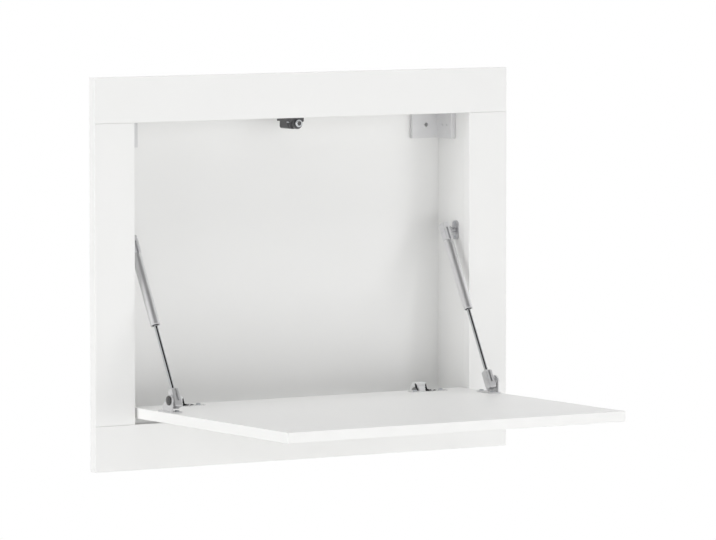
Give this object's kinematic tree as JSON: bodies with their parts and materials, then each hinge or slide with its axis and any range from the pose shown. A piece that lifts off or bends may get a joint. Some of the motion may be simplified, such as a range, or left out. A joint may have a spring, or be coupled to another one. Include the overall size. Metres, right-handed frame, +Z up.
{
  "type": "fold down wall desk",
  "caption": "Wall desk: a flat frame on a shallow niche, with a flap that folds down level as the desk top, held by two telescopic stays, two cup hinges and a push latch.",
  "frame": {"origin": "point on the wall's surface behind the middle of the frame", "axes": "+X to the right as seen from the room, +Y into the wall, +Z up; the flap folds down towards -Y"},
  "size_m": [0.75, 0.536, 0.6],
  "materials": {
    "white_board": "satin white lacquer on fibreboard",
    "edge_band": "satin white edge strip",
    "beech_dowel": "bare beech",
    "zinc_screw": "zinc plated",
    "hanger_grey": "light grey powder coat on die cast zinc",
    "latch_dark": "dark grey moulded nylon",
    "latch_chrome": "polished chrome plate",
    "magnet_nickel": "nickel plated magnet",
    "spring_steel": "spring wire",
    "white_steel": "white paint on steel",
    "hinge_nickel": "nickel plated steel",
    "stay_tube_grey": "satin anodised",
    "guide_black": "black acetal",
    "socket_zinc": "satin zinc die casting",
    "rod_chrome": "ground and chromed",
    "bracket_zinc": "nickel plated steel",
    "rivet_dark": "black oxide"
  },
  "bodies": {
    "cabinet": {"back_screws": "zinc_screw", "bottom_rail": "white_board", "frame_dowels": "beech_dowel", "frame_edging": "edge_band", "hanger_screws": "zinc_screw", "hinge_arm_screws": "zinc_screw", "hinge_plate_screws": "zinc_screw", "latch_housing": "latch_dark", "latch_screws": "zinc_screw", "left_hanger": "hanger_grey", "left_hinge_arm": "hinge_nickel", "left_hinge_plate": "hinge_nickel", "left_side": "white_board", "left_stile": "white_board", "left_wall_bracket": "bracket_zinc", "niche_back": "white_board", "niche_bottom": "white_board", "niche_dowels": "beech_dowel", "niche_screws": "zinc_screw", "niche_top": "white_board", "right_hanger": "hanger_grey", "right_hinge_arm": "hinge_nickel", "right_hinge_plate": "hinge_nickel", "right_side": "white_board", "right_stile": "white_board", "right_wall_bracket": "bracket_zinc", "top_rail": "white_board", "wall_bracket_screws": "zinc_screw"},
    "flap": {"flap_board": "white_board", "flap_edging": "edge_band", "strike_disc": "white_steel", "hinge_cup_screws": "zinc_screw", "foot_bracket_screws": "zinc_screw", "left_hinge_cup": "hinge_nickel", "left_hinge_pin": "hinge_nickel", "left_foot_bracket": "bracket_zinc", "left_foot_rivet": "rivet_dark", "right_hinge_cup": "hinge_nickel", "right_hinge_pin": "hinge_nickel", "right_foot_bracket": "bracket_zinc", "right_foot_rivet": "rivet_dark"},
    "left_rod": {"left_rod_socket": "socket_zinc", "left_stay_rod": "rod_chrome", "left_piston": "guide_black"},
    "right_rod": {"right_rod_socket": "socket_zinc", "right_stay_rod": "rod_chrome", "right_piston": "guide_black"},
    "left_tube": {"left_stay_tube": "stay_tube_grey", "left_tube_guide": "guide_black", "left_tube_socket": "socket_zinc", "left_head_rivet": "bracket_zinc"},
    "right_tube": {"right_stay_tube": "stay_tube_grey", "right_tube_guide": "guide_black", "right_tube_socket": "socket_zinc", "right_head_rivet": "bracket_zinc"},
    "latch_plunger": {"latch_plunger": "latch_chrome", "latch_magnet": "magnet_nickel", "latch_spring": "spring_steel"}
  },
  "joints": [
    {"name": "flap_hinge", "type": "hinge", "parent": "cabinet", "child": "flap", "pos_m": [0, -0.0935, -0.2145], "axis": [-1, 0, 0], "range_deg": [0, 90]},
    {"name": "left_stay_pivot", "type": "hinge", "parent": "flap", "child": "left_rod", "pos_m": [-0.285, -0.1875, -0.1865], "axis": [1, 0, 0], "range_deg": [0, 117.38]},
    {"name": "left_stay_slide", "type": "slide", "parent": "left_rod", "child": "left_tube", "axis": [0, -0.4813, -0.8766], "range_m": [0, 0.09828]},
    {"name": "right_stay_pivot", "type": "hinge", "parent": "flap", "child": "right_rod", "pos_m": [0.285, -0.1875, -0.1865], "axis": [1, 0, 0], "range_deg": [0, 117.38]},
    {"name": "right_stay_slide", "type": "slide", "parent": "right_rod", "child": "right_tube", "axis": [0, -0.4813, -0.8766], "range_m": [0, 0.09828]},
    {"name": "latch_press", "type": "slide", "parent": "cabinet", "child": "latch_plunger", "axis": [0, 1, 0], "range_m": [0, 0.003], "stiffness_N_per_m": 400, "springref_m": -0.002}
  ],
  "couplings": [
    {"joint": "left_stay_pivot", "follows": "flap_hinge", "ratio": 1.3041},
    {"joint": "left_stay_slide", "follows": "flap_hinge", "m_per_rad": 0.062557},
    {"joint": "right_stay_pivot", "follows": "flap_hinge", "ratio": 1.3041},
    {"joint": "right_stay_slide", "follows": "flap_hinge", "m_per_rad": 0.062557}
  ]
}
